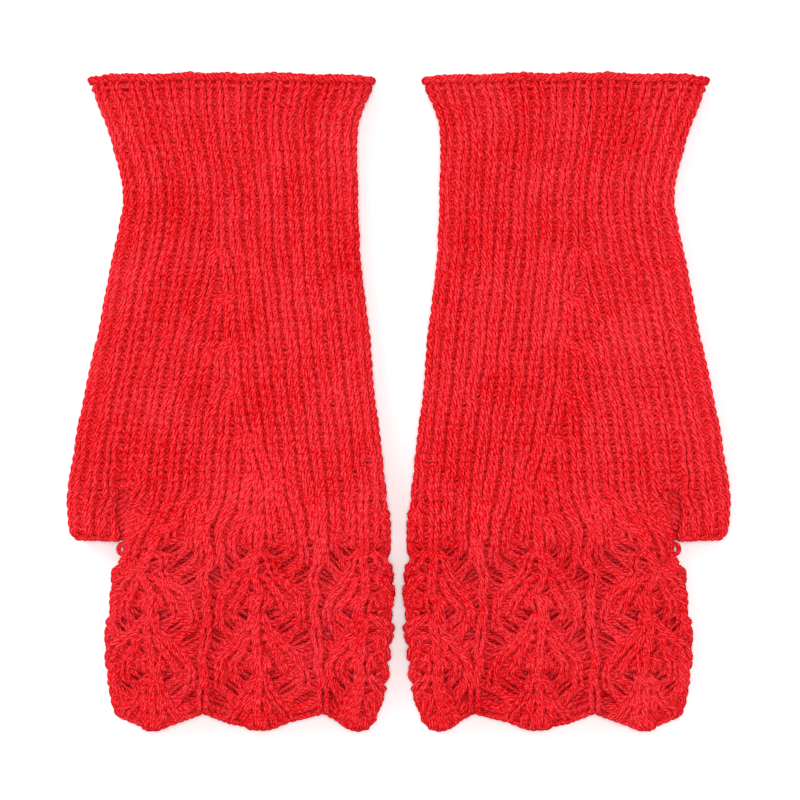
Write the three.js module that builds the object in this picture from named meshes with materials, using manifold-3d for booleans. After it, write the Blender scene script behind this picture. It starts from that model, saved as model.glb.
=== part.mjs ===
// A pair of fingerless knitted gloves lying flat side by side, in millimetres.
//
// Frame: +Z up, the table is z = 0, +Y runs from the finger openings to the arm openings, and the
// pair is mirrored about the plane x = 0, so the origin is under the middle of the pair.
// Each glove is a flattened tube of fabric, open at the arm, at the fingers and at the thumb.
// Everything is modelled for the left-lying glove (x < 0) and mirrored for the other one.

import * as THREE from 'three';
import { mergeVertices } from 'three/addons/utils/BufferGeometryUtils.js';
import Module from 'manifold-3d';

const wasm = await Module();
wasm.setup();

// ---- driving dimensions -------------------------------------------------------------------

const HEIGHT = 11.0;          // a glove lying flat: two layers of fabric and the space between
const WALL = 3.1;             // thickness of the knitted fabric above and below the hollow
const SIDE_WALL = 4.0;        // thickness at the folded sides, where the fabric turns over
const SIDE_ROUND = 4.2;       // radius of the folded sides
const GAP = 0.3;              // clearance between neighbouring bands of fabric

const ARM_END = 111.5;        // middle of the bound-off arm edge
const ARM_CORNER = 109.6;     // the same edge at its two corners
const ARM_EDGE_START = 106.0; // the bound-off ridge begins here
const WRIST_FOLD = 58.0;      // the arm turns back along this line
const CROTCH = -31.0;         // the thumb leaves the hand here
const THUMB_EDGE_START = -44.2;
const THUMB_END = -48.2;
const LACE_START = -46.6;     // plain knitting above this line, lace below it
const CUFF_FOLD = -81.5;      // the lace cuff turns back along this line
const CAST_ON_START = -102.0; // the scalloped cast-on edge begins here

// Side outlines as [y, x], from the arm down.
const OUTER_SIDE = [
  [118, -7.6], [110, -8.6], [102.7, -11.2], [92.5, -14.2], [68.7, -14.2], [48.3, -13.2],
  [27.9, -10.8], [0.7, -8.2], [-26.5, -5.0], [-43.5, -3.3], [-67, -2.1], [-81, -2.4],
  [-94.5, -4.0], [-103, -6.2], [-118, -10.6],
];
const THUMB_SIDE = [
  [118, -107.4], [110, -105.6], [103, -103.2], [92.5, -99.2], [78.9, -95.4], [68.7, -94.1],
  [58, -95.6], [41.5, -99.2], [14.3, -104.6], [-12.9, -110.4], [-31, -113.1],
];
const HAND_SIDE = [
  [-31, -92.4], [-42, -92.4], [-50, -93.4], [-56, -96.2], [-63, -98.0], [-81, -99.4],
  [-94.5, -98.6], [-103, -97.2], [-118, -94.6],
];
const THUMB_OUTER = [[-31, -113.1], [-38, -113.0], [-44, -112.3], [-48.2, -110.6], [-52, -108]];
const THUMB_INNER_X = -93.6;  // the side of the thumb that faces the hand

// Scalloped cast-on edge as [x, y]: tips at the decrease spines, valleys at the plain columns.
const SCALLOP = [
  [-101, -98], [-97.2, -104.2], [-91.5, -108.6], [-83.5, -110.2], [-75, -108.6], [-67.6, -106.2],
  [-58, -108.4], [-47.5, -111.5], [-37, -108.8], [-27, -106.2], [-20, -108.2], [-13.4, -109.6],
  [-7.6, -107.4], [-4.2, -102.5], [-2, -96],
];

const ARM_CORNER_FALL = 0.6;  // how far the arm edge goes on falling past its corners

// Yarn ends woven in along the folded sides, as [lowest y, highest y].
const ARM_TAIL = [68, 103];
const THUMB_TAIL = [-24, 8];
const CAST_ON_TAIL = [-100, -85];
const TAIL_RADIUS = 1.2;      // half the yarn diameter
const TAIL_INSET = 5.95;      // the tail's middle, in from the side of the glove
const TAIL_WANDER = 0.25;     // how far it strays to either side of that
const WANDER_STEP = 1.9;      // radians of wander from one knot to the next
const TAIL_Z = WALL + GAP + TAIL_RADIUS;

const OUTLINE_STEP = 6;       // millimetres of outline per facet, about
const BEVEL_STEPS = 4;
const ARM_EDGE_STEPS = 16;
const SCALLOP_STEPS = 48;
const TAIL_SIDES = 8;
const TAIL_KNOTS = 8;
const TAIL_STEPS = 12;
const TAIL_SAMPLES = 200;     // points along a side, from which the tail's knots are taken
const MERGE = 1e-4;           // points this close together are one vertex
const REACH = 8;              // how far cutters run past what they cut
const OVERLAP = 1;            // how far the thumb's outline runs into the hand's
const FAR_LEFT = -130;        // left and right of everything in the left glove
const FAR_RIGHT = 10;

const RED = { color: 0xe6232e, roughness: 0.92, metalness: 0 };
const RED_EDGE = { color: 0xd81f2b, roughness: 0.92, metalness: 0 };
const RED_TAIL = { color: 0xc81c27, roughness: 0.95, metalness: 0 };

// ---- solids -------------------------------------------------------------------------------

function toSolid(geometry) {
  const bare = geometry.index ? geometry.toNonIndexed() : geometry.clone();
  bare.deleteAttribute('normal');
  bare.deleteAttribute('uv');
  const merged = mergeVertices(bare, MERGE);
  return new wasm.Manifold(new wasm.Mesh({
    numProp: 3,
    vertProperties: Float32Array.from(merged.attributes.position.array),
    triVerts: Uint32Array.from(merged.index.array),
  }));
}

function toGeometry(solid) {
  const mesh = solid.getMesh();
  const geometry = new THREE.BufferGeometry();
  geometry.setAttribute('position', new THREE.BufferAttribute(mesh.vertProperties, 3));
  geometry.setIndex(new THREE.BufferAttribute(mesh.triVerts, 1));
  return geometry;
}

function mirrored(geometry) {
  const copy = geometry.clone();
  copy.scale(-1, 1, 1);
  const index = copy.index.array;
  for (let i = 0; i < index.length; i += 3) {
    [index[i + 1], index[i + 2]] = [index[i + 2], index[i + 1]];
  }
  return copy;
}

// A smooth outline through [y, x] stations, moved sideways by shift.
function sidePoints(stations, shift = 0) {
  const knots = stations.map(([y, x]) => new THREE.Vector2(x + shift, y));
  const curve = new THREE.SplineCurve(knots);
  return curve.getSpacedPoints(Math.ceil(curve.getLength() / OUTLINE_STEP));
}

// A plan outline raised from z = low to z = high, with rounded or square edges.
function slab(points, low, high, round = 0) {
  const geometry = new THREE.ExtrudeGeometry(new THREE.Shape(points), {
    depth: high - low - 2 * round,
    bevelEnabled: round > 0,
    bevelThickness: round,
    bevelSize: round,
    bevelOffset: -round,
    bevelSegments: BEVEL_STEPS,
  });
  geometry.translate(0, 0, low + round);
  return toSolid(geometry);
}

// The strip of the glove between two lines across it, as a cutter.
function band(lowY, highY, lowX = FAR_LEFT, highX = FAR_RIGHT) {
  const width = highX - lowX;
  const geometry = new THREE.BoxGeometry(width, highY - lowY, HEIGHT + 2 * REACH);
  geometry.translate(lowX + width / 2, (lowY + highY) / 2, HEIGHT / 2);
  return toSolid(geometry);
}

// ---- the flattened fabric shell -----------------------------------------------------------

// Hand, arm and lace in one outline, with the thumb side stepping in at the crotch.
function bodyOutline() {
  return [
    ...sidePoints(OUTER_SIDE),
    ...sidePoints(HAND_SIDE).reverse(),
    ...sidePoints(THUMB_SIDE).reverse(),
  ];
}

// The thumb, running on into the hand above the crotch.
function thumbOutline() {
  const side = sidePoints(THUMB_OUTER);
  return [
    new THREE.Vector2(THUMB_INNER_X, CROTCH + REACH),
    new THREE.Vector2(side[0].x + OVERLAP, CROTCH + REACH),
    ...side,
    new THREE.Vector2(THUMB_INNER_X, side.at(-1).y),
  ];
}

// The space inside the hand, the arm and the lace, open at both ends.
function bodyHollow() {
  return [
    ...sidePoints(OUTER_SIDE, -SIDE_WALL),
    ...sidePoints(HAND_SIDE, SIDE_WALL).reverse(),
    new THREE.Vector2(HAND_SIDE[0][1] + SIDE_WALL, CROTCH + SIDE_WALL),
    new THREE.Vector2(THUMB_INNER_X - WALL, CROTCH + SIDE_WALL),
    new THREE.Vector2(THUMB_SIDE.at(-1)[1] + SIDE_WALL, CROTCH + SIDE_WALL),
    ...sidePoints(THUMB_SIDE, SIDE_WALL).reverse().filter((p) => p.y > CROTCH + SIDE_WALL),
  ];
}

// The space inside the thumb, running on into the hand and out of the thumb's end.
function thumbHollow() {
  const side = sidePoints(THUMB_OUTER, SIDE_WALL);
  return [
    new THREE.Vector2(THUMB_INNER_X - WALL, CROTCH + REACH),
    new THREE.Vector2(side[0].x + OVERLAP, CROTCH + REACH),
    ...side,
    new THREE.Vector2(THUMB_INNER_X - WALL, side.at(-1).y),
  ];
}

function gloveShell() {
  const outside = slab(bodyOutline(), 0, HEIGHT, SIDE_ROUND)
    .add(slab(thumbOutline(), 0, HEIGHT, SIDE_ROUND));
  const inside = slab(bodyHollow(), WALL, HEIGHT - WALL)
    .add(slab(thumbHollow(), WALL, HEIGHT - WALL));
  return outside.subtract(inside);
}

// Cutter for the arm edge, which bows up a little between its corners.
function armEdgeCutter() {
  const middle = (THUMB_SIDE[1][1] + OUTER_SIDE[1][1]) / 2;
  const left = THUMB_SIDE[1][1] - REACH;
  const right = OUTER_SIDE[1][1] + REACH;
  const top = new THREE.SplineCurve([
    new THREE.Vector2(right, ARM_CORNER - ARM_CORNER_FALL),
    new THREE.Vector2(OUTER_SIDE[1][1], ARM_CORNER),
    new THREE.Vector2(middle, ARM_END),
    new THREE.Vector2(THUMB_SIDE[1][1], ARM_CORNER),
    new THREE.Vector2(left, ARM_CORNER - ARM_CORNER_FALL),
  ]).getPoints(ARM_EDGE_STEPS);
  const low = ARM_EDGE_START + GAP / 2;
  const outline = [new THREE.Vector2(left, low), new THREE.Vector2(right, low), ...top];
  return slab(outline, -REACH, HEIGHT + REACH);
}

// Cutter for the cast-on edge: straight at the top, scalloped below.
function castOnCutter() {
  const knots = SCALLOP.map(([x, y]) => new THREE.Vector2(x, y));
  const lower = new THREE.SplineCurve(knots).getPoints(SCALLOP_STEPS);
  const top = CAST_ON_START - GAP / 2;
  const below = lower.filter((point) => point.y < top);
  const outline = [
    new THREE.Vector2(below[0].x - REACH, top),
    ...below,
    new THREE.Vector2(below.at(-1).x + REACH, top),
  ];
  return slab(outline, -REACH, HEIGHT + REACH);
}

// ---- woven-in yarn ends -------------------------------------------------------------------

// An end of yarn that runs along the inside of a folded side, with a slight wander.
function yarnEnd(stations, inward, [lowY, highY]) {
  const side = new THREE.SplineCurve(stations.map(([y, x]) => new THREE.Vector2(x, y)));
  const samples = side.getSpacedPoints(TAIL_SAMPLES);
  const inRange = samples.filter((p) => p.y >= lowY && p.y <= highY);
  const route = [];
  for (let i = 0; i <= TAIL_KNOTS; i += 1) {
    const at = inRange[Math.round((i * (inRange.length - 1)) / TAIL_KNOTS)];
    const wander = TAIL_WANDER * Math.sin(i * WANDER_STEP);
    route.push(new THREE.Vector3(at.x + inward * (TAIL_INSET + wander), at.y, TAIL_Z));
  }
  const section = new THREE.Shape();
  section.absarc(0, 0, TAIL_RADIUS, 0, 2 * Math.PI, false);
  const geometry = new THREE.ExtrudeGeometry(section, {
    steps: TAIL_STEPS,
    curveSegments: TAIL_SIDES,
    bevelEnabled: false,
    extrudePath: new THREE.CatmullRomCurve3(route),
  });
  return toGeometry(toSolid(geometry));
}

// ---- the parts of one glove ---------------------------------------------------------------

// The hand runs from the wrist fold to the lace, and leaves out the thumb below the crotch.
function handTube(shell) {
  const half = GAP / 2;
  return shell.intersect(band(LACE_START + half, WRIST_FOLD - half))
    .subtract(band(THUMB_END - REACH, CROTCH + half, FAR_LEFT, THUMB_INNER_X + half));
}

function gloveParts() {
  const shell = gloveShell();
  const half = GAP / 2;
  const between = (low, high) => shell.intersect(band(low + half, high - half));
  const laceBand = between(CUFF_FOLD, LACE_START)
    .subtract(band(THUMB_END - REACH, CROTCH, FAR_LEFT, THUMB_INNER_X + half));
  const thumbSide = shell.intersect(band(THUMB_END, CROTCH, FAR_LEFT, THUMB_INNER_X + half));
  const thumbTube = thumbSide.intersect(band(THUMB_EDGE_START + half, CROTCH - half));
  const thumbEdge = thumbSide.intersect(band(THUMB_END, THUMB_EDGE_START - half));
  return [
    ['arm_edge', toGeometry(shell.intersect(armEdgeCutter())), RED_EDGE],
    ['arm_tube', toGeometry(between(WRIST_FOLD, ARM_EDGE_START)), RED],
    ['hand_tube', toGeometry(handTube(shell)), RED],
    ['thumb_tube', toGeometry(thumbTube), RED],
    ['thumb_edge', toGeometry(thumbEdge), RED_EDGE],
    ['lace_band', toGeometry(laceBand), RED],
    ['lace_cuff', toGeometry(between(CAST_ON_START, CUFF_FOLD)), RED],
    ['cast_on_edge', toGeometry(shell.intersect(castOnCutter())), RED_EDGE],
    ['arm_yarn_end', yarnEnd(OUTER_SIDE, -1, ARM_TAIL), RED_TAIL],
    ['thumb_yarn_end', yarnEnd(THUMB_SIDE, 1, THUMB_TAIL), RED_TAIL],
    ['cast_on_yarn_end', yarnEnd(OUTER_SIDE, -1, CAST_ON_TAIL), RED_TAIL],
  ];
}

// ---- assembly -----------------------------------------------------------------------------

function addPart(group, name, geometry, look) {
  const mesh = new THREE.Mesh(geometry, new THREE.MeshStandardMaterial(look));
  mesh.name = name;
  group.add(mesh);
}

const group = new THREE.Group();
for (const [name, geometry, look] of gloveParts()) {
  addPart(group, `left_${name}`, geometry, look);
  addPart(group, `right_${name}`, mirrored(geometry), look);
}

export default group;
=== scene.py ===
import math

import bpy
import numpy as np
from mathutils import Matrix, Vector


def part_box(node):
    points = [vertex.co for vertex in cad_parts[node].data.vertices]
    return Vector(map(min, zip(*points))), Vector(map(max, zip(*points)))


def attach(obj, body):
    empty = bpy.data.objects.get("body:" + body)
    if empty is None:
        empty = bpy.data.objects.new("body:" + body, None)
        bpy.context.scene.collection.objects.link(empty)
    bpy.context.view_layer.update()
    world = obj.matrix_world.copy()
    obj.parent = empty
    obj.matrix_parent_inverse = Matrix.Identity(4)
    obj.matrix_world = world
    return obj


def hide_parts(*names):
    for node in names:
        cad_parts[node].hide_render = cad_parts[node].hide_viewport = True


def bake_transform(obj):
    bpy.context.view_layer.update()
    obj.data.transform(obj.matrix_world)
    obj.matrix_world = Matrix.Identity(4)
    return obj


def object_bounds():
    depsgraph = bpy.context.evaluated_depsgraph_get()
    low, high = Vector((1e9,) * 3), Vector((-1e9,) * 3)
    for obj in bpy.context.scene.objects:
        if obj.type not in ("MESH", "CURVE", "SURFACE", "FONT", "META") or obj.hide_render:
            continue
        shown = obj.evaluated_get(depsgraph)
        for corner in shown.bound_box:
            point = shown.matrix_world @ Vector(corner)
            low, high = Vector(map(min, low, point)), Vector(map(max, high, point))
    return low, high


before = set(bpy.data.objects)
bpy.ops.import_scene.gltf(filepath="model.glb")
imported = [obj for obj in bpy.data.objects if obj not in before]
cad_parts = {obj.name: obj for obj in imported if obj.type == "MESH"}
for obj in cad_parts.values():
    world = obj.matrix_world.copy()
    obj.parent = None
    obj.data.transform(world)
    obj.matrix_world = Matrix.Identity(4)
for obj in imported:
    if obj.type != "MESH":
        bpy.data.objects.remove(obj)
CAD_BOX = [list(corner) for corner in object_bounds()]

# Millimetres are used until a mesh is made.
MM = 0.001
TAU = 2 * math.pi

# ---- yarn and fabric ------------------------------------------------------------------------

YARN_WIDE = 0.97        # half the yarn's width, seen on the face of the fabric
YARN_THICK = 1.02       # half its thickness through the fabric
YARN_TURN = 12.0        # length of one turn of its plies
YARN_SIDES = 8          # points round the yarn
PLIES = 6
FOLD_RADIUS = 3.05      # bend of the fabric's middle at the folded sides
SIDE_INSET = 2.2        # from the CAD's outline to the fabric's middle
FUZZ = 0.85             # the stitches at the sides stand this far past the CAD's smooth outline
EDGE_FLARE = 0.3        # and this much more at the arm edge
MID_Z = 5.8             # height of the glove's middle plane

LOOP_STEPS = 22         # points along one stitch
LOOP_DEPTH = 1.35       # how far a stitch swings to the front and to the back
PURL_DEPTH = -0.6       # a purl stitch swings the other way, and less
LOOP_NECK = 0.099       # how much a stitch narrows at its foot and widens at its head
FOOT_REACH = 1.4        # how far a stitch's foot hangs below its base
YO_FOOT = -0.2          # a yarn-over has nothing to hang from
HEAD_REACH = 1.4        # how far its head rises past the base of the next one
HEAD_LIFT = 0.4         # the heads lie close behind the next stitches
SHINGLE = 0.95          # its lower half lies over the upper half of the stitch below
WALE_ROUND = 0.25       # a wale's sides lie this much deeper than its middle
ARM_ROUND = 0.6         # and this much more near the arm edge
MAX_WIDTH = 3.2         # a head is no wider than this
TOGETHER = 0.42         # stitches that are knitted together stand this share of a width apart
TOGETHER_SLIM = 0.8     # and their heads are this much slimmer
TOGETHER_DEPTH = 1.1    # and the ones that lie behind are this much deeper
FOOT_SWELL = 0.84       # how full the yarn is in a stitch's foot
LEG_SWELL = 0.16        # how much fuller it is in the middle of the legs
YARN_SWELL = 0.38       # and how much fuller in the head
LOOSE = 0.26            # unevenness of the stitches
WANDER = 0.18           # the wales wander sideways
VARY = 0.07             # the stitches' reach varies by this share, and their depth by a little less
DEPTH_VARY = 0.06

LACE_NECK = 0.085       # the lace's stitches have straighter legs
LACE_SLIM = 0.14        # the lace is stretched: its wales stand further apart
LACE_THIN = 0.17        # and its yarn is drawn thinner
LACE_RELIEF = 1.5       # its columns and spines stand out
RIB = 1.3               # and so do the ribs beside its yarn-overs
YO_WIDTH = (3.1, 1.0)   # room that a yarn-over takes in its round, in stitches: front and back
YO_SPREAD = (2.7, 1.0)  # and how far it pushes the round below apart

BAR_RISE = -1.15        # the purl bars inside the fabric: where they lie off its middle,
BAR_LIFT = 1.2          # how far they lie above their round's base,
BAR_WIDE = 1.65         # and half their width and thickness
BAR_THICK = 0.95
BAR_THIN = 0.3          # their share of that width across a hole
HOLE_REACH = 4.0        # the bars are thinner this near a yarn-over

# ---- rounds ---------------------------------------------------------------------------------

LACE_ROWS = 19
LACE_STITCHES = 40
LACE_PITCH = 3.46
LACE_TOP = -46.45       # the last round of lace
CAST_ON_Y = -107.4
PALM_FIRST = -42.8      # the first round of plain knitting
PALM_ROWS = 25
PALM_PITCH = 3.2
MERGE_ROW = 23          # thumb and hand become one tube
LAST_ROW = 67
LAST_Y = 107.0
EDGE_BOW = 1.0          # the arm edge runs lower towards its corners
ARM_BACK_LIFT = 0.5     # and higher on the back
EDGE_PITCH = 2.1        # from the last plain round to the purl round before the arm edge
PURL_THIN = 0.15        # the purl round's yarn is drawn thinner
LACE_DIP = 5.0          # rounds run low at the decrease spines and high at the plain columns
CAST_ON_DIP = 2.8
HEM_LIFT = 3.2          # the back of the hem lies this much higher than the front
REPEAT = 8              # stitches in one repeat of the lace
REPEAT_ROWS = 6         # and rounds
# Where the plain columns (0, 8, ...) and the decrease spines (4, 12, ...) of the lace run: the
# front ones by x at the cast-on edge and at the top of the lace, the others by s.
FRONT_ANCHORS = {4: (-83.8, -84.6), 8: (-66.8, -65.8), 12: (-47.6, -47.8),
                 16: (-26.2, -28.4), 20: (-13.6, -12.2)}
BACK_ANCHORS = {0: -0.014, 24: 0.556, 28: 0.664, 32: 0.770, 36: 0.878, 40: 0.986}
# The first rounds of the palm lose a stitch each: which stitch joins which on the front. The
# second of them loses one on the back too.
PALM_DECREASES = ((4, 5), (10, 11), (5, 6))
BACK_DECREASE = 19
ARM_DECREASES = (25, 29, 34, 39, 44, 49)
# The spine of the arm's decreases: y and x. It is held in place up to SPINE_TOP.
SPINE_LINE = ([-30, -26.5, -13, 0, 38, 70, 106], [-47.4, -48.4, -52.4, -55.2, -58.0, -60.6, -61.5])
SPINE_STITCH = 12
SPINE_TOP = 50
THUMB_STITCHES = 8
HALF_THUMB = THUMB_STITCHES // 2
# The thumb's stitches lie at the start and at the end of the body's first round.
THUMB_PLACES = [*range(HALF_THUMB), *range(-HALF_THUMB, 0)]
THUMB_LEVELS = (-45.4, -42.4, -39.3, -36.2, -33.1)

rng = np.random.default_rng(11)


def ramp(value, start, end):
    """0 before start, 1 past end, and a straight run between them."""
    return np.clip((value - start) / (end - start), 0, 1)


def bell(distance, width):
    return np.exp(-(distance / width) ** 2)


# ---- the outline of the CAD tubes -----------------------------------------------------------

def cad_cut(nodes, levels):
    """Points where the edges of CAD nodes cross each level of y, in millimetres."""
    cuts = [[] for _ in levels]
    for name in nodes:
        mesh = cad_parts[name].data
        co = np.empty(len(mesh.vertices) * 3)
        mesh.vertices.foreach_get("co", co)
        ends = np.empty(len(mesh.edges) * 2, np.int64)
        mesh.edges.foreach_get("vertices", ends)
        a, b = (co.reshape(-1, 3)[ends.reshape(-1, 2)] / MM).transpose(1, 0, 2)
        for k, y in enumerate(levels):
            hit = (a[:, 1] - y) * (b[:, 1] - y) < 0
            t = ((y - a[hit, 1]) / (b[hit, 1] - a[hit, 1]))[:, None]
            cuts[k].append(a[hit] + t * (b[hit] - a[hit]))
    return [np.concatenate(c) for c in cuts]


def outline(nodes, first, last):
    """Levels of y with the lowest and highest x of the CAD solids there."""
    levels = np.arange(first, last, 1.5)
    rows = [(y, c[:, 0].min(), c[:, 0].max())
            for y, c in zip(levels, cad_cut(nodes, levels)) if len(c)]
    return np.array(rows).T


class Tube:
    """A flattened tube of fabric: s runs once round it from the left fold over the front."""

    def __init__(self, nodes, first, last, left_shift=((0,), (0,)), right_shift=((0,), (0,))):
        self.y, self.low, self.high = outline(nodes, first, last)
        self.left_shift, self.right_shift = left_shift, right_shift

    def sides(self, y):
        inset = SIDE_INSET - FUZZ - EDGE_FLARE * ramp(y, 102, 108)
        left = np.interp(y, self.y, self.low) + inset + np.interp(y, *self.left_shift)
        right = np.interp(y, self.y, self.high) - inset + np.interp(y, *self.right_shift)
        return left, right

    def girth(self, y):
        left, right = self.sides(y)
        return 2 * (right - left - 2 * FOLD_RADIUS) + TAU * FOLD_RADIUS

    def flat_x(self, s, y):
        """The x that s would have if the front and back ran on flat past the folds."""
        left, _ = self.sides(y)
        s = np.mod(s, 1.0)
        way = np.where(s <= 0.5, s, 1 - s) * self.girth(y)
        return left + FOLD_RADIUS - math.pi / 2 * FOLD_RADIUS + way

    def from_flat(self, x, y, front):
        left, _ = self.sides(y)
        s = (x - left - FOLD_RADIUS + math.pi / 2 * FOLD_RADIUS) / self.girth(y)
        return np.where(front, s, 1 - s)

    def place(self, s, y, rise):
        """Points in space at s and y, a distance rise out from the fabric's middle."""
        left, right = self.sides(y)
        flat = right - left - 2 * FOLD_RADIUS
        girth = 2 * flat + TAU * FOLD_RADIUS
        s = np.mod(s, 1.0)
        back = s > 0.5
        way = np.where(back, 1 - s, s) * girth
        bend = math.pi / 2 * FOLD_RADIUS
        x0, x1 = left + FOLD_RADIUS, right - FOLD_RADIUS
        angle = np.where(way < bend, math.pi - way / FOLD_RADIUS,
                         np.where(way > bend + flat,
                                  (2 * bend + flat - way) / FOLD_RADIUS, math.pi / 2))
        centre = np.where(way < bend, x0, np.where(way > bend + flat, x1, x0 + way - bend))
        nx, nz = np.cos(angle), np.sin(angle)
        face = ramp(way, bend, bend + 2) * ramp(way, bend + flat, bend + flat - 2)
        x = centre + nx * (FOLD_RADIUS + rise)
        z = nz * (FOLD_RADIUS + rise) + relief(centre, y, right) * face
        nz = np.where(back, -nz, nz)
        z = MID_Z + np.where(back, -z, z) + crotch_step(centre, y) * (1 + nz) / 2
        normal = np.stack([nx, np.zeros_like(nx), nz], -1)
        return np.stack([x, y, z], -1), normal


def crotch_x(y):
    """Where the hand meets the thumb."""
    return -93.3 + (y + 31) * 0.13


def crotch_step(x, y):
    """The hand's side lies over the thumb's."""
    off = x - crotch_x(y)
    fade = ramp(y, -8, -30) * ramp(y, -56, -46)
    return 1.7 * np.tanh(off / 1.2) * bell(off, 9) * fade


def relief(x, y, right):
    """The fabric's dents and swells, in millimetres off the flat."""
    groove = -1.5 * bell(x - (right - 3.6), 1.3)
    groove *= ramp(y, -55, -25) * ramp(y, 95, 70)
    crotch = -3.4 * bell(x - crotch_x(y) + 0.8, 2.4) * ramp(y, 2, -28) * ramp(y, -55, -43)
    swell = 0.25 * np.sin(x * 0.11 + 1.3) * np.sin(y * 0.06 + 0.4)
    return groove + crotch + swell


# The hand's side lies against the thumb, and the lace's sides draw in beside its eyelets.
HAND_TUBE = Tube(
    ["left_cast_on_edge", "left_lace_cuff", "left_lace_band"], -104, -46,
    left_shift=([-100, -96, -92, -88, -80, -76, -73, -70, -64, -60, -55, -52, -50, -45, -40,
                 -31],
                [-1.0, -0.8, -0.1, -1.2, -1.5, -0.9, 0.8, 0.3, 0, -1.2, -2.0, -0.2, -0.2,
                 -1.0, -0.3, 0.1]),
    right_shift=([-93, -89.4, -86, -75, -71.4, -68, -63.9, -58, -54, -50],
                 [0, -1.1, 0, 0, -1.1, 0, 0.5, 0, -0.7, 0]))
BODY_TUBE = Tube(["left_hand_tube", "left_arm_tube", "left_arm_edge"], -30.7, 109.3)
THUMB_TUBE = Tube(["left_thumb_tube", "left_thumb_edge"], -48.1, -31.2,
                  right_shift=([-48, -44, -38, -31], [-0.9, -2.8, -4.0, -2.8]))
# The hand's part of that tube ends at the crotch, and its sides run straight on past the scallops.
for field, more in zip(("y", "low", "high"), outline(["left_hand_tube"], -46.3, -31.6)):
    run = getattr(HAND_TUBE, field)
    beyond = run[0] + (run[0] - run[4]) * 1.5
    setattr(HAND_TUBE, field, np.concatenate([[beyond], run, more]))


# ---- the stitches ---------------------------------------------------------------------------

class Round:
    """One round of stitches: their places, and for each the stitch that is drawn through it."""

    def __init__(self, tube, s, level, parents, purl=False, row=0):
        self.tube, self.s, self.level = tube, np.array(s, float), level
        self.parents = parents          # per stitch: the stitches of the round below, or ()
        self.purl = purl
        self.row = row
        self.y = None
        self.phase = None               # 0 on the lace's plain columns, pi on its spines


def lace_parents(row, count):
    """Which stitches of the round below each stitch of a lace round is drawn through."""
    table = {
        1: [(0,), (), (1,), (2,), (3, 4, 5), (6,), (7,), ()],
        3: [(0,), (1,), (), (2,), (3, 4, 5), (6,), (), (7,)],
        5: [(0,), (1,), (2,), (), (3, 4, 5), (), (6,), (7,)],
    }.get((row - 1) % REPEAT_ROWS if row > 1 else 0, [(k,) for k in range(REPEAT)])
    return [tuple(p + REPEAT * (i // REPEAT) for p in table[i % REPEAT]) for i in range(count)]


def merged(count, into, gone):
    """Parents for a round in which stitch `gone` of the round below joins stitch `into`."""
    rows = [[k] for k in range(count)]
    rows[into] = sorted([into, gone])
    del rows[gone]
    return [tuple(r) for r in rows]


def row_level(r):
    """The y of round r."""
    if r == 0:
        return CAST_ON_Y
    if r < LACE_ROWS:
        return LACE_TOP - LACE_PITCH * (LACE_ROWS - 1 - r)
    if r < LACE_ROWS + PALM_ROWS:
        return PALM_FIRST + PALM_PITCH * (r - LACE_ROWS)
    top = PALM_FIRST + PALM_PITCH * (PALM_ROWS - 1)
    first = LACE_ROWS + PALM_ROWS - 1
    return top + (LAST_Y - top) * (r - first) / (LAST_ROW - first)


def anchors(level):
    """The stitches and s of the lace's plain columns and spines at one level."""
    found = dict(BACK_ANCHORS)
    for i, (low, high) in FRONT_ANCHORS.items():
        x = np.interp(level, [CAST_ON_Y, -85, LACE_TOP], [low, high, high])
        found[i] = float(HAND_TUBE.from_flat(x, level, True))
    return sorted(found), [found[i] for i in sorted(found)]


def wrap_to(s, near):
    """s moved by whole turns to lie next to near."""
    return s - np.round(s - near)


def relax(rounds, pins, upright, fixed_top=None):
    """Evens out the stitches: equal widths along a round, and each wale runs on smoothly."""
    turns, step, joined_pull = 1500, 0.7, 0.15
    offset = np.cumsum([0] + [len(r.s) for r in rounds])
    s = np.concatenate([r.s for r in rounds])
    a, b, rest, pull = [], [], [], []
    for k, r in enumerate(rounds):
        n = len(r.s)
        width = np.array([1.0 if p else YO_WIDTH[int(at % 1 > 0.5)]
                          for p, at in zip(r.parents, r.s)])
        gap = (width + np.roll(width, -1)) / 2
        if k + 1 < len(rounds) and len(rounds[k + 1].s) == n:
            above = rounds[k + 1].parents
            for i, p in enumerate(above):
                if not p:
                    gap[max(above[i - 1])] *= YO_SPREAD[int(r.s[max(above[i - 1])] % 1 > 0.5)]
        gap /= gap.sum()
        for i in range(n):
            a.append(offset[k] + i)
            b.append(offset[k] + (i + 1) % n)
            rest.append(gap[i] - (1.0 if i == n - 1 else 0.0))
            pull.append(1.0)
        if k:
            for i, parents in enumerate(r.parents):
                for p in parents:
                    a.append(offset[k] + i)
                    b.append(offset[k - 1] + p)
                    rest.append(0.0)
                    pull.append(upright * (1.0 if len(parents) == 1 else joined_pull))
    a, b = np.array(a), np.array(b)
    rest, pull = np.array(rest), np.array(pull)
    held = np.zeros(len(s), bool)
    target = np.zeros(len(s))
    for (k, i), value in pins.items():
        held[offset[k] + i] = True
        target[offset[k] + i] = value
    extra = np.zeros(len(s))
    extra_to = np.zeros(len(s))
    if fixed_top is not None:
        last = offset[-2]
        for i, value in fixed_top.items():
            extra[last + i] = upright
            extra_to[last + i] = value
    for _ in range(turns):
        total = np.zeros(len(s))
        load = np.zeros(len(s))
        # s[b] - s[a] should equal rest
        wrap = np.round(s[b] - s[a] - rest)
        np.add.at(total, a, pull * (s[b] - wrap - rest))
        np.add.at(load, a, pull)
        np.add.at(total, b, pull * (s[a] + wrap + rest))
        np.add.at(load, b, pull)
        new = (total + extra * wrap_to(extra_to, s)) / (load + extra)
        new = np.where(held, target, new)
        s = s + step * (new - s)
        s = np.where(held, target, s)
    for k, r in enumerate(rounds):
        r.s = s[offset[k]:offset[k + 1]]


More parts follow.
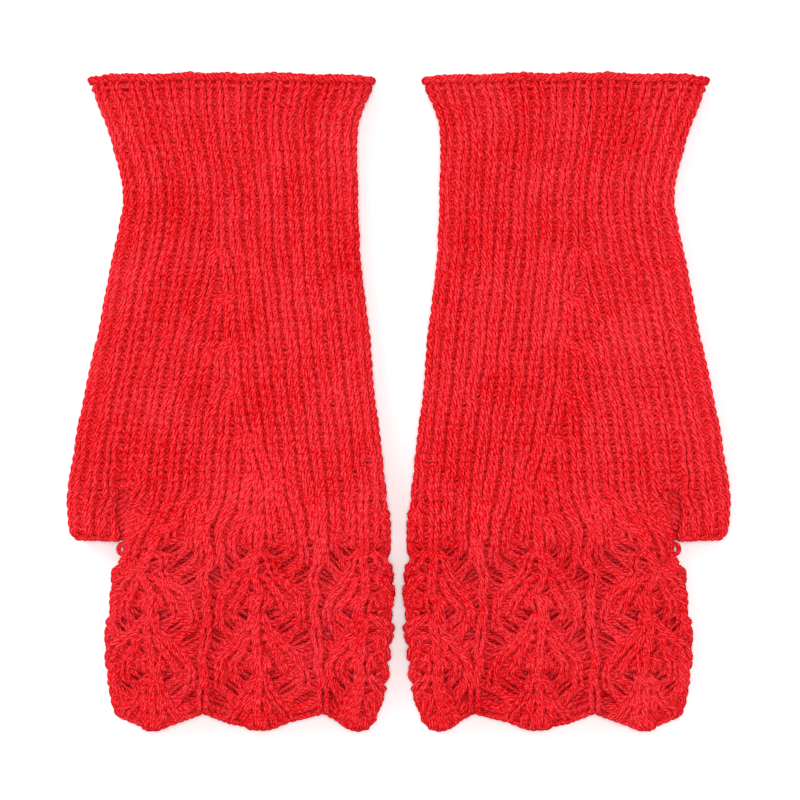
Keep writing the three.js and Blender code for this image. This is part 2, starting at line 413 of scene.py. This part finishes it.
def build_rounds():
    """All rounds of one glove: hand (fingers to crotch), thumb, and body (crotch to arm)."""
    hand = []
    for r in range(LACE_ROWS + 1):
        start = np.interp(range(LACE_STITCHES), *anchors(row_level(r)))
        parents = lace_parents(r, LACE_STITCHES)
        hand.append(Round(HAND_TUBE, start, row_level(r), parents, row=r))
    hand[0].parents = [(i,) for i in range(LACE_STITCHES)]
    for k, (into, gone) in enumerate(PALM_DECREASES):
        below = hand[-1]
        parents = merged(len(below.s), into, gone)
        if k == 1:
            parents[BACK_DECREASE] += parents[BACK_DECREASE + 1]
            del parents[BACK_DECREASE + 1]
        s = [np.mean([below.s[p] for p in ps]) for ps in parents]
        hand.append(Round(HAND_TUBE, s, row_level(LACE_ROWS + 1 + k), parents))
    # Stitch 0 moves to the end.
    last = hand[-1]
    order = list(range(1, len(last.s))) + [0]
    last.parents = [last.parents[i] for i in order]
    last.s = np.array([last.s[i] for i in order])

    body = []
    count = len(last.s) + THUMB_STITCHES
    spine, back_spine = SPINE_STITCH, count - 1 - SPINE_STITCH
    for r in range(MERGE_ROW, LAST_ROW + 1):
        parents = [(i,) for i in range(count)]
        if r in ARM_DECREASES:
            parents = merged(count, back_spine, back_spine + 1)
            front = parents[spine] + parents[spine - 1]
            parents[spine] = tuple(sorted(front))
            del parents[spine - 1]
            count -= 2
            spine -= 1
            back_spine -= 1
        s = [(i + 0.5) / count for i in range(count)]
        body.append(Round(BODY_TUBE, s, row_level(r), parents))
        body[-1].spine = (spine, back_spine)
    pins = {}
    for k, r in enumerate(body):
        x = np.interp(r.level, *SPINE_LINE)
        for spot, front in zip(r.spine, (True, False)):
            if r.level < SPINE_TOP:
                pins[(k, spot)] = float(BODY_TUBE.from_flat(x, r.level, front))
    relax(body, pins, upright=2.5)

    first = body[0]
    s_first = HAND_TUBE.from_flat(BODY_TUBE.flat_x(first.s, first.level), last.level,
                                  np.mod(first.s, 1) <= 0.5)
    top = {i: float(s_first[i + HALF_THUMB]) for i in range(len(last.s))}
    pins = {}
    for k, r in enumerate(hand[:LACE_ROWS]):
        pins.update({(k, i): s for i, s in zip(*anchors(r.level)) if i < LACE_STITCHES})
    relax(hand, pins, fixed_top=top, upright=4.0)

    thumb = []
    x_top = BODY_TUBE.flat_x(first.s[THUMB_PLACES], first.level)
    s_top = THUMB_TUBE.from_flat(x_top, first.level, np.arange(THUMB_STITCHES) < HALF_THUMB)
    even = (np.arange(THUMB_STITCHES) + 0.5) / THUMB_STITCHES
    for level in THUMB_LEVELS:
        share = (level - THUMB_LEVELS[0]) / (first.level - THUMB_LEVELS[0])
        s = even + (s_top - even) * share
        thumb.append(Round(THUMB_TUBE, s, level, [(i,) for i in range(THUMB_STITCHES)]))
    return hand, body, thumb


def set_levels(rounds, lace=False):
    """The y of every stitch, with the rounds' dips and bows and a little unevenness."""
    for r in rounds:
        spots = anchors(r.level)[1]
        s = np.mod(r.s - spots[0], 1.0) + spots[0]
        r.y = np.full(len(s), float(r.level))
        if lace:
            phase = r.phase = np.interp(s, spots, [math.pi * k for k in range(len(spots))])
            dip = np.interp(r.level, [CAST_ON_Y, CAST_ON_Y + 6], [CAST_ON_DIP, LACE_DIP])
            r.y += dip * np.cos(phase) * ramp(r.level, -31, -46)
            back = np.sin(np.clip(np.mod(s, 1) - 0.5, 0, 0.5) * TAU)
            r.y += HEM_LIFT * np.sqrt(np.abs(back)) * ramp(r.level, -84, -104)
        else:
            left, right = r.tube.sides(r.y)
            middle = (r.tube.flat_x(s, r.y) - left) / (right - left) * 2 - 1
            r.y -= EDGE_BOW * ramp(r.level, 60, 110) ** 1.5 * middle ** 2
            back = np.clip(-4 * np.sin(s * TAU), 0, 1)
            r.y += ARM_BACK_LIFT * back * ramp(r.level, 85, 105)
        r.y += rng.normal(0, LOOSE, len(s))
        x = r.tube.flat_x(s, r.y)
        wander = np.sin(0.9 * x + 0.13 * r.y + 1) + np.sin(0.37 * x - 0.21 * r.y)
        r.s = r.s + (WANDER * wander + rng.normal(0, LOOSE, len(s))) / r.tube.girth(r.level)


def rib(low):
    """How far the stitches stand out along the diagonals beside the yarn-overs."""
    diagonal = math.pi * (0.25 + 0.5 * ((low.row - 1) % REPEAT_ROWS) / 5)
    beyond = np.abs(np.mod(low.phase + math.pi, TAU) - math.pi) - diagonal
    return RIB * (bell(beyond - 0.35, 0.3) - bell(beyond + 0.1, 0.25))


def drawn_through(low, high, move):
    """For each stitch: the one drawn through it, its place among stitches that are knitted
    together, counted from their middle, and 1 if it lies behind the others."""
    child, share, under = np.zeros(len(low.s), int), np.zeros(len(low.s)), np.zeros(len(low.s))
    for c, parents in enumerate(high.parents):
        for k, p in enumerate(parents):
            if not 0 <= p - move < len(low.s):
                continue
            child[p - move] = c
            share[p - move] = k - (len(parents) - 1) / 2
            under[p - move] = {2: k == 0, 3: k != 1}.get(len(parents), False)
    return child, share, under


def smoothed(path):
    """A closed run of s, y and depth, with each point drawn towards its neighbours."""
    before, after = np.roll(path, 1, axis=0), np.roll(path, -1, axis=0)
    before[:, 0] = wrap_to(before[:, 0], path[:, 0])
    after[:, 0] = wrap_to(after[:, 0], path[:, 0])
    return (before + 2 * path + after) / 4


def loop_points(low, high, move=0):
    """The path of the yarn through one round, held at the top by the next round up. The next
    round counts its parents from `move` stitches before this round's first."""
    tube, n = low.tube, len(low.s)
    girth = tube.girth(low.y)
    base = np.stack([low.s * girth, low.y], -1)

    def flat(s, y):
        return np.stack([wrap_to(s, low.s) * girth, y], -1)

    left = (flat(np.roll(low.s, 1), np.roll(low.y, 1)) - base) / 2
    right = (flat(np.roll(low.s, -1), np.roll(low.y, -1)) - base) / 2
    child, share, under = drawn_through(low, high, move)
    top_s, top_y = high.s[child], high.y[child]
    if high.tube is not tube:
        front = np.mod(top_s, 1) <= 0.5
        top_s = tube.from_flat(high.tube.flat_x(top_s, top_y), top_y, front)
    top = flat(top_s, top_y)
    one_back, one_on = np.roll(high.s, 1), np.roll(high.s, -1)
    wide = np.abs(wrap_to(one_on, one_back) - one_back)[child] * high.tube.girth(top_y) / 2
    wide = np.minimum(wide, MAX_WIDTH)
    top[:, 0] += share * wide * TOGETHER
    slimmer = np.where(share != 0, TOGETHER_SLIM, 1.0)
    half = np.stack([wide / 2, np.zeros(n)], -1) * slimmer[:, None]
    new = np.array([len(p) == 0 for p in low.parents]) & (np.mod(low.s, 1) <= 0.5)

    theta = np.arange(LOOP_STEPS + 1) * TAU / LOOP_STEPS
    t = ((1 - np.cos(theta)) / 2)[None, :, None]
    side = np.where(theta <= math.pi, theta, TAU - theta)
    lower = side < math.pi / 2
    open_lace = np.clip(np.sin(low.s * TAU) * 4, 0, 1) * ramp(low.level, -44, -48)
    neck = LOOP_NECK + (LACE_NECK - LOOP_NECK) * open_lace
    neck = np.where(lower[None, :] & new[:, None], 0.0, neck[:, None])
    slim = (LACE_SLIM * open_lace)[:, None] * np.sin(side) * np.sin(side)
    reach = (1 - side / math.pi)[None, :] - slim - 4 * neck * np.sin(2 * side)[None, :]
    foot = np.where(new, YO_FOOT, FOOT_REACH) * rng.uniform(1 - VARY, 1 + VARY, n)
    head = HEAD_REACH * rng.uniform(1 - VARY, 1 + VARY, n)
    rise = top - base
    unit = rise / np.linalg.norm(rise, axis=1, keepdims=True)
    dips = -foot[:, None] * ((1 + np.cos(theta)) / 2) ** 2
    dips = dips + head[:, None] * ((1 - np.cos(theta)) / 2) ** 2
    is_left = (theta <= math.pi)[None, :, None]
    wing_low = np.where(is_left, left[:, None, :], right[:, None, :])
    wing_top = np.where(is_left, -half[:, None, :], half[:, None, :])
    wing = wing_low * (1 - t) + wing_top * t
    flat_points = (base[:, None, :] + rise[:, None, :] * t + unit[:, None, :] * dips[..., None]
                   + wing * reach[..., None])
    vary = rng.uniform(1 - DEPTH_VARY, 1 + DEPTH_VARY, n)[:, None]
    depth = -LOOP_DEPTH * np.cos(2 * theta)[None, :] * vary
    if low.purl:
        depth = PURL_DEPTH * depth
    depth = depth + SHINGLE * np.cos(side) - under[:, None] * TOGETHER_DEPTH * t[..., 0]
    round_off = WALE_ROUND + ARM_ROUND * ramp(low.level, 60, 100)
    depth = depth - round_off * reach ** 2 + HEAD_LIFT * t[..., 0] ** 4
    if low.phase is not None:
        ridge = LACE_RELIEF * np.maximum(np.cos(2 * low.phase), 0) + rib(low)
        depth = depth + (open_lace * ridge)[:, None]

    s = flat_points[..., 0] / girth[:, None]
    y = flat_points[..., 1]
    path = np.stack([s, y, depth], -1)
    # Neighbours share the point between them.
    before = np.roll(path[:, -1], 1, axis=0).copy()
    before[:, 0] = wrap_to(before[:, 0], path[:, 0, 0])
    path[:, 0] = (path[:, 0] + before) / 2
    path = path[:, :-1].reshape(-1, 3)
    path = smoothed(smoothed(path))
    way = np.tile(theta[:-1], n)
    swell = FOOT_SWELL + LEG_SWELL * np.sin(way) ** 2 + YARN_SWELL * np.sin(way / 2) ** 4
    swell = swell * (1 - LACE_THIN * np.repeat(open_lace, LOOP_STEPS))
    if low.purl:
        swell = swell * (1 - PURL_THIN)
    return *tube.place(path[:, 0], path[:, 1], path[:, 2]), swell


# ---- meshes ---------------------------------------------------------------------------------

class Yarns:
    """Collects closed rings and open ends of yarn as one mesh."""

    def __init__(self):
        self.verts, self.faces, self.uvs, self.caps, self.count = [], [], [], [], 0

    def add(self, points, normals, swell=1.0, wide=YARN_WIDE, thick=YARN_THICK, closed=True):
        """A yarn along points, its flat side turned to normals, swell times as thick."""
        n = len(points)
        ahead, behind = np.roll(points, -1, axis=0), np.roll(points, 1, axis=0)
        if not closed:
            ahead[-1], behind[0] = points[-1], points[0]
        tangent = ahead - behind
        tangent /= np.linalg.norm(tangent, axis=1, keepdims=True)
        up = normals - tangent * np.sum(normals * tangent, axis=1, keepdims=True)
        up /= np.linalg.norm(up, axis=1, keepdims=True)
        across = np.cross(tangent, up)
        angle = np.arange(YARN_SIDES) * TAU / YARN_SIDES
        run = np.linalg.norm(np.roll(points, -1, axis=0) - points, axis=1)
        length = np.concatenate([[0], np.cumsum(run)])
        total = length[n] if closed else length[n - 1]
        turns = max(1, round(total / YARN_TURN)) if closed else total / YARN_TURN
        u = length / total * turns
        uneven = 1 + 0.035 * np.sin(u[:n] * 3.57) + 0.02 * np.sin(u[:n] * 5.3)
        size = (swell * uneven)[:, None]
        ring = (points[:, None, :]
                + across[:, None, :] * (np.cos(angle) * wide * size)[..., None]
                + up[:, None, :] * (np.sin(angle) * thick * size)[..., None])
        self.verts.append(ring.reshape(-1, 3))
        segments = n if closed else n - 1
        i = np.arange(segments)[:, None]
        j = np.arange(YARN_SIDES)[None, :]
        ni, nj = (i + 1) % n, (j + 1) % YARN_SIDES
        quads = np.stack([i * YARN_SIDES + j, i * YARN_SIDES + nj,
                          ni * YARN_SIDES + nj, ni * YARN_SIDES + j], -1).reshape(-1, 4)
        self.faces.append(quads + self.count)
        u0, u1 = u[:-1][:segments, None], u[1:][:segments, None]
        v0, v1 = j / YARN_SIDES, (j + 1) / YARN_SIDES
        one = np.ones((segments, YARN_SIDES))
        corners = ((u0, v0), (u0, v1), (u1, v1), (u1, v0))
        uv = np.stack([np.stack([cu * one, cv * one], -1) for cu, cv in corners], 2)
        self.uvs.append(uv.reshape(-1, 2))
        if not closed:
            first = self.count + np.arange(YARN_SIDES)
            self.caps.append(first[::-1])
            self.caps.append(first + (n - 1) * YARN_SIDES)
        self.count += n * YARN_SIDES

    def make(self, name, mirror=False):
        """The object of all the yarns, mirrored for the right-lying glove."""
        verts = np.concatenate(self.verts) * MM
        faces = np.concatenate(self.faces)
        uv = np.concatenate(self.uvs)
        if mirror:
            verts = verts * [-1, 1, 1]
            faces = faces[:, ::-1]
            uv = uv.reshape(-1, 4, 2)[:, ::-1].reshape(-1, 2)
        mesh = bpy.data.meshes.new(name)
        caps = [c[::-1] if mirror else c for c in self.caps]
        corner = np.concatenate([faces.ravel(), *caps])
        starts = np.concatenate([np.arange(len(faces)) * 4,
                                 len(faces) * 4 + np.arange(len(caps)) * YARN_SIDES])
        mesh.vertices.add(len(verts))
        mesh.vertices.foreach_set("co", verts.ravel())
        mesh.loops.add(len(corner))
        mesh.loops.foreach_set("vertex_index", corner.astype(np.int32))
        mesh.polygons.add(len(starts))
        mesh.polygons.foreach_set("loop_start", starts.astype(np.int32))
        mesh.polygons.foreach_set("use_smooth", np.ones(len(starts), bool))
        layer = mesh.uv_layers.new(name="yarn")
        full = np.zeros((len(corner), 2), np.float32)
        full[:len(uv)] = uv
        layer.data.foreach_set("uv", full.ravel())
        mesh.update(calc_edges=True)
        mesh.validate()
        obj = bpy.data.objects.new(name, mesh)
        bpy.context.scene.collection.objects.link(obj)
        return obj


def edge_rope(yarns, tube, s, y, rise, twists, radius=0.45, wide=0.72, thick=0.72, strands=2,
              lumps=0.0):
    """A rope of twisted strands along an edge: s and y are dense closed runs."""
    turn = np.arange(len(s)) / len(s) * TAU
    spin = turn * twists + 0.9 * np.sin(turn * 5) + 0.7 * np.sin(turn * 13 + 1)
    lump_count = math.floor(1.9 * twists)
    for k in range(strands):
        phase = spin + k * TAU / strands
        points, normals = tube.place(s, y + radius * np.cos(phase),
                                     rise + radius * np.sin(phase))
        swell = 1 + lumps * np.sin(turn * lump_count + 3 * np.sin(turn * 7) + k)
        yarns.add(points, normals, swell, wide, thick)


def rope_path(low, lift, samples):
    """A closed run of s and y along a round, lifted by a distance."""
    order = np.argsort(np.mod(low.s, 1))
    s, y = np.mod(low.s, 1)[order], low.y[order]
    run = np.arange(samples) / samples
    return run, np.interp(run, s, y, period=1) + lift


# ---- materials ------------------------------------------------------------------------------

def wool(name, colour, dark):
    """Plied wool: painted shade in the grooves between the plies round the yarn, fibres along them,
    and uneven dye.
    """
    material = bpy.data.materials.new(name)
    material.use_nodes = True
    nodes, links = material.node_tree.nodes, material.node_tree.links
    shader = nodes["Principled BSDF"]

    def node(kind, **values):
        n = nodes.new(kind)
        for key, value in values.items():
            setattr(n, key, value)
        return n

    def math_node(operation, a, b=None):
        n = node("ShaderNodeMath", operation=operation)
        for socket, value in zip(n.inputs, (a, b)):
            if isinstance(value, (int, float)):
                socket.default_value = value
            elif value is not None:
                links.new(value, socket)
        return n.outputs[0]

    uv = node("ShaderNodeUVMap", uv_map="yarn")
    split = node("ShaderNodeSeparateXYZ")
    links.new(uv.outputs[0], split.inputs[0])
    along, around = split.outputs[0], split.outputs[1]
    ply = math_node("MULTIPLY", math_node("ADD", along, around), PLIES)
    groove = math_node("ABSOLUTE", math_node("SUBTRACT", math_node("FRACT", ply), 0.5))
    groove = math_node("POWER", math_node("MULTIPLY", groove, 2.0), 2.0)

    streak = node("ShaderNodeCombineXYZ")
    links.new(math_node("MULTIPLY", ply, 1.7), streak.inputs[0])
    links.new(math_node("MULTIPLY", along, 9.0), streak.inputs[1])
    place = node("ShaderNodeTexCoord").outputs["Object"]

    def noise(source, scale, detail):
        n = node("ShaderNodeTexNoise")
        n.inputs["Scale"].default_value = scale
        n.inputs["Detail"].default_value = detail
        links.new(source, n.inputs["Vector"])
        return n.outputs[0]

    fibre = noise(streak.outputs[0], 1.0, 3.0)
    dye = noise(place, 55.0, 2.0)
    fuzz = noise(place, 1500.0, 2.0)

    # Painted shade: the grooves between the plies are mixed towards the dark red, as if shade fell
    # in them; the fibre, fuzz and dye noise vary the tone at random.
    shade = math_node("ADD", math_node("MULTIPLY", groove, 0.55), 0.46)
    for source, amount in ((fibre, 2.2), (fuzz, 2.2), (dye, 0.7)):
        change = math_node("MULTIPLY", math_node("SUBTRACT", source, 0.5), amount)
        shade = math_node("ADD", shade, change)
    clamp = node("ShaderNodeClamp")
    links.new(shade, clamp.inputs[0])
    mix = node("ShaderNodeMix", data_type="RGBA")
    mix.inputs["A"].default_value = (*colour, 1)
    mix.inputs["B"].default_value = (*dark, 1)
    links.new(clamp.outputs[0], mix.inputs["Factor"])
    links.new(mix.outputs["Result"], shader.inputs["Base Color"])
    shader.inputs["Base Color"].default_value = (*colour, 1)

    height = math_node("SUBTRACT", math_node("MULTIPLY", fibre, 0.5), groove)
    height = math_node("ADD", height, math_node("MULTIPLY", fuzz, 0.6))
    bump = node("ShaderNodeBump")
    bump.inputs["Strength"].default_value = 0.6
    bump.inputs["Distance"].default_value = 0.0005
    links.new(height, bump.inputs["Height"])
    links.new(bump.outputs[0], shader.inputs["Normal"])
    for socket, value in (("Roughness", 0.88), ("Specular IOR Level", 0.02),
                          ("Sheen Weight", 0.12), ("Sheen Roughness", 0.45),
                          ("Sheen Tint", (1.0, 0.03, 0.04, 1))):
        shader.inputs[socket].default_value = value
    return material


KNIT = wool("red_wool_knit", (1.0, 0.062, 0.084), (0.68, 0.000, 0.001))
EDGE = wool("red_wool_edge", (0.98, 0.056, 0.074), (0.65, 0.000, 0.001))
TAIL = wool("red_wool_yarn_end", (0.94, 0.058, 0.072), (0.61, 0.000, 0.001))


# ---- camera, light and floor ----------------------------------------------------------------

VIEW_WIDTH = 0.272      # what the picture takes in at the height of the gloves' top
TOP_Z = CAD_BOX[1][2]
CENTRE = (0.00044, 0.00068)

camera = bpy.data.objects.new("camera", bpy.data.cameras.new("camera"))
bpy.context.scene.collection.objects.link(camera)
camera.data.lens, camera.data.sensor_width = 100, 36
camera.location = (*CENTRE, TOP_Z + VIEW_WIDTH * camera.data.lens / camera.data.sensor_width)
camera.data.clip_end = 10
bpy.context.scene.camera = camera
bpy.context.scene.view_settings.view_transform = "Standard"

world = bpy.data.worlds.new("world")
bpy.context.scene.world = world
world.use_nodes = True
sky = world.node_tree.nodes["Background"]
sky.inputs["Color"].default_value = (1, 1, 1, 1)
sky.inputs["Strength"].default_value = 0.55


def area_light(name, place, size, power):
    light = bpy.data.lights.new(name, "AREA")
    light.size, light.energy = size, power
    obj = bpy.data.objects.new(name, light)
    obj.location = place
    aim = -obj.location.normalized()
    obj.rotation_euler = aim.to_track_quat("-Z", "Y").to_euler()
    bpy.context.scene.collection.objects.link(obj)


area_light("top", (0.0, 0.05, 1.25), 0.35, 9.0)
area_light("key", (-0.8, 0.75, 0.8), 0.6, 6.0)
area_light("fill", (0.8, -0.3, 1.0), 0.9, 1.4)

floor_mesh = bpy.data.meshes.new("floor")
floor_mesh.from_pydata([(-3, -3, 0), (3, -3, 0), (3, 3, 0), (-3, 3, 0)], [], [(0, 1, 2, 3)])
floor = bpy.data.objects.new("floor", floor_mesh)
floor.location.z = -0.0002
bpy.context.scene.collection.objects.link(floor)
paper = bpy.data.materials.new("paper")
paper.use_nodes = True
paper_shader = paper.node_tree.nodes["Principled BSDF"]
paper_shader.inputs["Base Color"].default_value = (0.97, 0.97, 0.97, 1)
paper_shader.inputs["Roughness"].default_value = 0.9
floor_mesh.materials.append(paper)


# ---- the gloves -----------------------------------------------------------------------------

hand, body, thumb = build_rounds()
set_levels(hand, lace=True)
set_levels(body)
set_levels(thumb)

# The pieces, with the CAD nodes that they replace and where along y each one ends.
PIECES = {"cast_on_edge": ("cast_on_edge", -102), "lace_cuff": ("lace_cuff", -81.5),
          "lace_band": ("lace_band", -46.6), "hand_knit": ("hand_tube", 58),
          "arm_knit": ("arm_tube", 105.9), "arm_edge": ("arm_edge", math.inf),
          "thumb_knit": ("thumb_tube", None), "thumb_edge": ("thumb_edge", None)}
THUMB_EDGE_TOP = -44
parts = {name: Yarns() for name in PIECES}


def part_for(level):
    for name, (_, top) in PIECES.items():
        if level < top:
            return parts[name]


def edge_round(below, lift):
    """A purl round that ends the arm."""
    parents = [(i,) for i in range(len(below.s))]
    r = Round(below.tube, below.s.copy(), below.level + lift, parents, purl=True)
    r.y = below.y + lift
    return r


def add_bars(yarns, low, high):
    """The purl bars on the inside of a round, which close the gaps behind its stitches."""
    run, level = rope_path(low, BAR_LIFT, 4 * len(low.s))
    points, normals = low.tube.place(run, level, BAR_RISE)
    # Below a yarn-over only a thin strand crosses the hole.
    holes = [at % 1 for at, p in zip(high.s, high.parents) if not p and at % 1 <= 0.5]
    girth = low.tube.girth(low.level)
    swell = np.ones(len(run))
    for hole in holes:
        swell = np.minimum(swell, np.abs(wrap_to(run, hole) - hole) * girth / HOLE_REACH)
    yarns.add(points, normals, np.clip(swell, BAR_THIN, 1), BAR_WIDE, BAR_THICK)


def upward(count):
    """Normals of a yarn that lies flat."""
    return np.tile([0.0, 0.0, 1.0], (count, 1))


END_LIFT = 0.2          # what holds the purl round's heads lies this far past it
ARM_ROUNDS = body + [edge_round(body[-1], EDGE_PITCH)]
end = edge_round(ARM_ROUNDS[-1], END_LIFT)

for low, high in zip(hand, hand[1:]):
    part_for(low.level).add(*loop_points(low, high))
for low, high in zip(hand + ARM_ROUNDS, hand[1:] + body[:1] + ARM_ROUNDS[1:] + [end]):
    add_bars(part_for(low.level), low, high)
# The last round before the crotch is held by the first round of the body.
parts["hand_knit"].add(*loop_points(hand[-1], body[0], move=HALF_THUMB))
for low, high in zip(ARM_ROUNDS, ARM_ROUNDS[1:] + [end]):
    part_for(low.level).add(*loop_points(low, high))

thumb_top = Round(BODY_TUBE, body[0].s[THUMB_PLACES], body[0].level,
                  [(i,) for i in range(THUMB_STITCHES)])
thumb_top.y = body[0].y[THUMB_PLACES]
for low, high in zip(thumb, thumb[1:] + [thumb_top]):
    yarns = parts["thumb_edge" if low.level < THUMB_EDGE_TOP else "thumb_knit"]
    yarns.add(*loop_points(low, high))
    add_bars(yarns, low, high)

# The strand picked up at the crotch, deep between the thumb and the hand: its top and lower end.
STRAND = np.array([(-94.3, -27.5, 1.9), (-95.8, -47.6, 1.9)])
STRAND_WIDE, STRAND_THICK = 2.7, 1.2
steps = np.linspace(0, 1, 14)
strand = STRAND[0] + (STRAND[1] - STRAND[0]) * steps[:, None]
taper = np.clip(np.sin(steps * math.pi) * 3, 0.6, 1)
parts["hand_knit"].add(strand, upward(len(strand)), taper, STRAND_WIDE, STRAND_THICK, False)

# Loose loops that stand out from the lace's two folded sides.
SIDE_LOOPS = ((-94.3, -50.3), (-4.2, -65.4))
SIDE_LOOP_SIZE = (1.65, 1.75)
SIDE_LOOP_WIDE, SIDE_LOOP_THICK = 0.78, 0.75
turn = np.linspace(0, TAU, 18, endpoint=False)
for x, y in SIDE_LOOPS:
    loop = np.stack([x + SIDE_LOOP_SIZE[0] * np.cos(turn), y + SIDE_LOOP_SIZE[1] * np.sin(turn),
                     MID_Z + 0.5 * np.sin(2 * turn)], -1)
    parts["lace_band"].add(loop, upward(len(loop)), 1.0, SIDE_LOOP_WIDE, SIDE_LOOP_THICK)

DENSE = 10              # points of an edge rope for each twist
CAST_ON_TWISTS = 40
ARM_TWISTS = 32
run, level = rope_path(hand[0], -1.0, CAST_ON_TWISTS * DENSE)
edge_rope(parts["cast_on_edge"], HAND_TUBE, run, level, 0, CAST_ON_TWISTS)
run, level = rope_path(end, 1.6, ARM_TWISTS * DENSE)
edge_rope(parts["arm_edge"], BODY_TUBE, run, level, 0.8, ARM_TWISTS, radius=0.75, wide=0.85,
          thick=0.85, strands=3, lumps=0.2)
run, level = rope_path(thumb[0], -1.0, THUMB_STITCHES * 2 * DENSE)
edge_rope(parts["thumb_edge"], THUMB_TUBE, run, level, 0, THUMB_STITCHES)


def tail(node):
    """The path of a CAD yarn end, from the middle of its cuts."""
    low, high = (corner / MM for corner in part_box(node))
    levels = np.arange(low.y + 0.6, high.y - 0.5, 0.8)
    middle = np.array([c.mean(0) for c in cad_cut([node], levels)])
    middle[1:-1] = (middle[:-2] + middle[1:-1] * 2 + middle[2:]) / 4
    return middle


TAIL_RADIUS = 1.15
# Levels along y at which each body's fabric would bend away from the hand's, and the pieces there,
# whose transforms are only baked.
BENDS = {"arm": (58, 82, ("hand_knit", "arm_knit")),
         "cuff": (-82.5, -101, ("lace_band", "lace_cuff")),
         "thumb": (-31.5, -43.5, ("thumb_knit",))}

for side in ("left", "right"):
    made = {name: yarns.make(f"{side}_{name}", side == "right") for name, yarns in parts.items()}
    for name, obj in made.items():
        edge = name.endswith("edge")
        obj.data.materials.append(EDGE if edge else KNIT)
        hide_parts(f"{side}_{PIECES[name][0]}")
    for other, (y0, y1, names) in BENDS.items():
        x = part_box(f"{side}_thumb_tube")[0].x if other == "thumb" else 0
        for name in names:
            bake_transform(made[name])
    for name, rider in (("arm_edge", "arm"), ("cast_on_edge", "cuff"), ("thumb_edge", "thumb")):
        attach(made[name], f"{side}_{rider}")
    for name, rider in (("arm", "arm"), ("thumb", "hand"), ("cast_on", "cuff")):
        node = f"{side}_{name}_yarn_end"
        yarns = Yarns()
        path = tail(node)
        steps = np.arange(len(path))
        taper = np.clip(np.minimum(steps + 1, len(path) - steps) / 2.5, 0.35, 1)
        yarns.add(path, upward(len(path)), taper, TAIL_RADIUS, TAIL_RADIUS, False)
        obj = yarns.make(f"{side}_{name}_tail")
        obj.data.materials.append(TAIL)
        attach(obj, f"{side}_{rider}")
        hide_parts(node)

bpy.context.view_layer.update()
